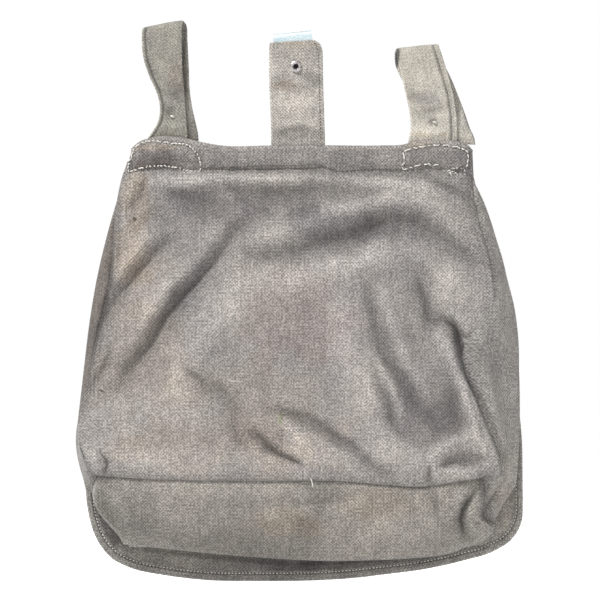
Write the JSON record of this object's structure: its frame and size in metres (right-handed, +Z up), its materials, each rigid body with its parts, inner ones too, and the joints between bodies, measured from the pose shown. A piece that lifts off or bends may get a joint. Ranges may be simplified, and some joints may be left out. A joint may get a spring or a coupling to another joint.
{
  "type": "fruit picking bag",
  "caption": "Canvas picking bag with a buttoned-down flap, belt loops that unbutton, and a riveted hook tab, for wearing on a waist belt.",
  "frame": {"origin": "centre of the top band's wearer-side face", "axes": "+Z up as worn, +X to the right seen from the wearer's side, -Y out of the band's face towards the wearer, so the flap is at +Y"},
  "size_m": [0.3222, 0.038, 0.4013],
  "materials": {
    "body_canvas": "faded grey-brown plain-weave canvas, stained and fuzzy",
    "strap_canvas": "pale twill canvas, two layers, stitched edges",
    "hem_canvas": "darker worn canvas binding with two stitch rows",
    "hook_metal": "pale plated sheet metal, dulled",
    "rivet_metal": "hollow rivet, worn and oxidised",
    "button_metal": "domed button, dark worn paint"
  },
  "bodies": {
    "bag_back": {"top_band": "body_canvas", "back_panel": "body_canvas", "side_gusset_left_rear": "body_canvas", "side_gusset_right_rear": "body_canvas"},
    "front_wall": {"front_panel": "body_canvas", "closure_button_left": "button_metal", "closure_button_right": "button_metal", "side_gusset_left_front": "body_canvas", "side_gusset_right_front": "body_canvas"},
    "bottom": {"bottom_gusset": "body_canvas"},
    "flap": {"flap": "body_canvas", "flap_binding": "hem_canvas"},
    "closure_tab_left": {"closure_tab_left": "strap_canvas"},
    "closure_tab_right": {"closure_tab_right": "strap_canvas"},
    "belt_loop_left": {"belt_loop_left": "strap_canvas", "belt_loop_button_left": "button_metal"},
    "belt_loop_end_left": {"belt_loop_end_left": "strap_canvas"},
    "belt_loop_right": {"belt_loop_right": "strap_canvas", "belt_loop_button_right": "button_metal"},
    "belt_loop_end_right": {"belt_loop_end_right": "strap_canvas"},
    "hook_tab": {"hook_tab": "strap_canvas", "hook_rivet": "rivet_metal"},
    "belt_hook": {"belt_hook": "hook_metal"}
  },
  "joints": [
    {"name": "flap_open", "type": "hinge", "parent": "bag_back", "child": "flap", "pos_m": [0, 0.009, -0.0095], "axis": [1, 0, 0], "range_deg": [0, 135]},
    {"name": "front_wall_spread", "type": "slide", "parent": "bag_back", "child": "front_wall", "axis": [0, 0.5591, 0.8291], "range_m": [0, 0.066]},
    {"name": "bottom_swing", "type": "hinge", "parent": "bag_back", "child": "bottom", "pos_m": [0, 0.0021, -0.2335], "axis": [1, 0, 0], "range_deg": [0, 58.5]},
    {"name": "closure_tab_left_swing", "type": "hinge", "parent": "flap", "child": "closure_tab_left", "pos_m": [-0.07, 0.0247, -0.19384], "axis": [1, 0, 0], "range_deg": [-35, 0]},
    {"name": "closure_tab_right_swing", "type": "hinge", "parent": "flap", "child": "closure_tab_right", "pos_m": [0.07, 0.0247, -0.19384], "axis": [1, 0, 0], "range_deg": [-35, 0]},
    {"name": "belt_loop_left_swing", "type": "hinge", "parent": "bag_back", "child": "belt_loop_left", "pos_m": [-0.096, 0.004, 0.0108], "axis": [1, 0, 0], "range_deg": [-10, 80]},
    {"name": "belt_loop_left_open", "type": "hinge", "parent": "belt_loop_left", "child": "belt_loop_end_left", "pos_m": [-0.096, 0.0146, 0.0795], "axis": [1, 0, 0], "range_deg": [0, 150]},
    {"name": "belt_loop_right_swing", "type": "hinge", "parent": "bag_back", "child": "belt_loop_right", "pos_m": [0.096, 0.004, 0.0108], "axis": [1, 0, 0], "range_deg": [-10, 80]},
    {"name": "belt_loop_right_open", "type": "hinge", "parent": "belt_loop_right", "child": "belt_loop_end_right", "pos_m": [0.096, 0.0146, 0.064], "axis": [1, 0, 0], "range_deg": [0, 150]},
    {"name": "hook_tab_swing", "type": "hinge", "parent": "bag_back", "child": "hook_tab", "pos_m": [-0.003, 0.004, 0.0108], "axis": [1, 0, 0], "range_deg": [-10, 80]},
    {"name": "hook_swivel", "type": "hinge", "parent": "hook_tab", "child": "belt_hook", "pos_m": [-0.003, 0.0059, 0.064], "axis": [0, 1, 0], "range_deg": [-15, 15]}
  ],
  "couplings": [
    {"joint": "front_wall_spread", "follows": "flap_open", "m_per_rad": 0.027976},
    {"joint": "bottom_swing", "follows": "flap_open", "ratio": 0.42963},
    {"joint": "closure_tab_left_swing", "follows": "flap_open", "ratio": -0.25},
    {"joint": "closure_tab_right_swing", "follows": "flap_open", "ratio": -0.25}
  ]
}
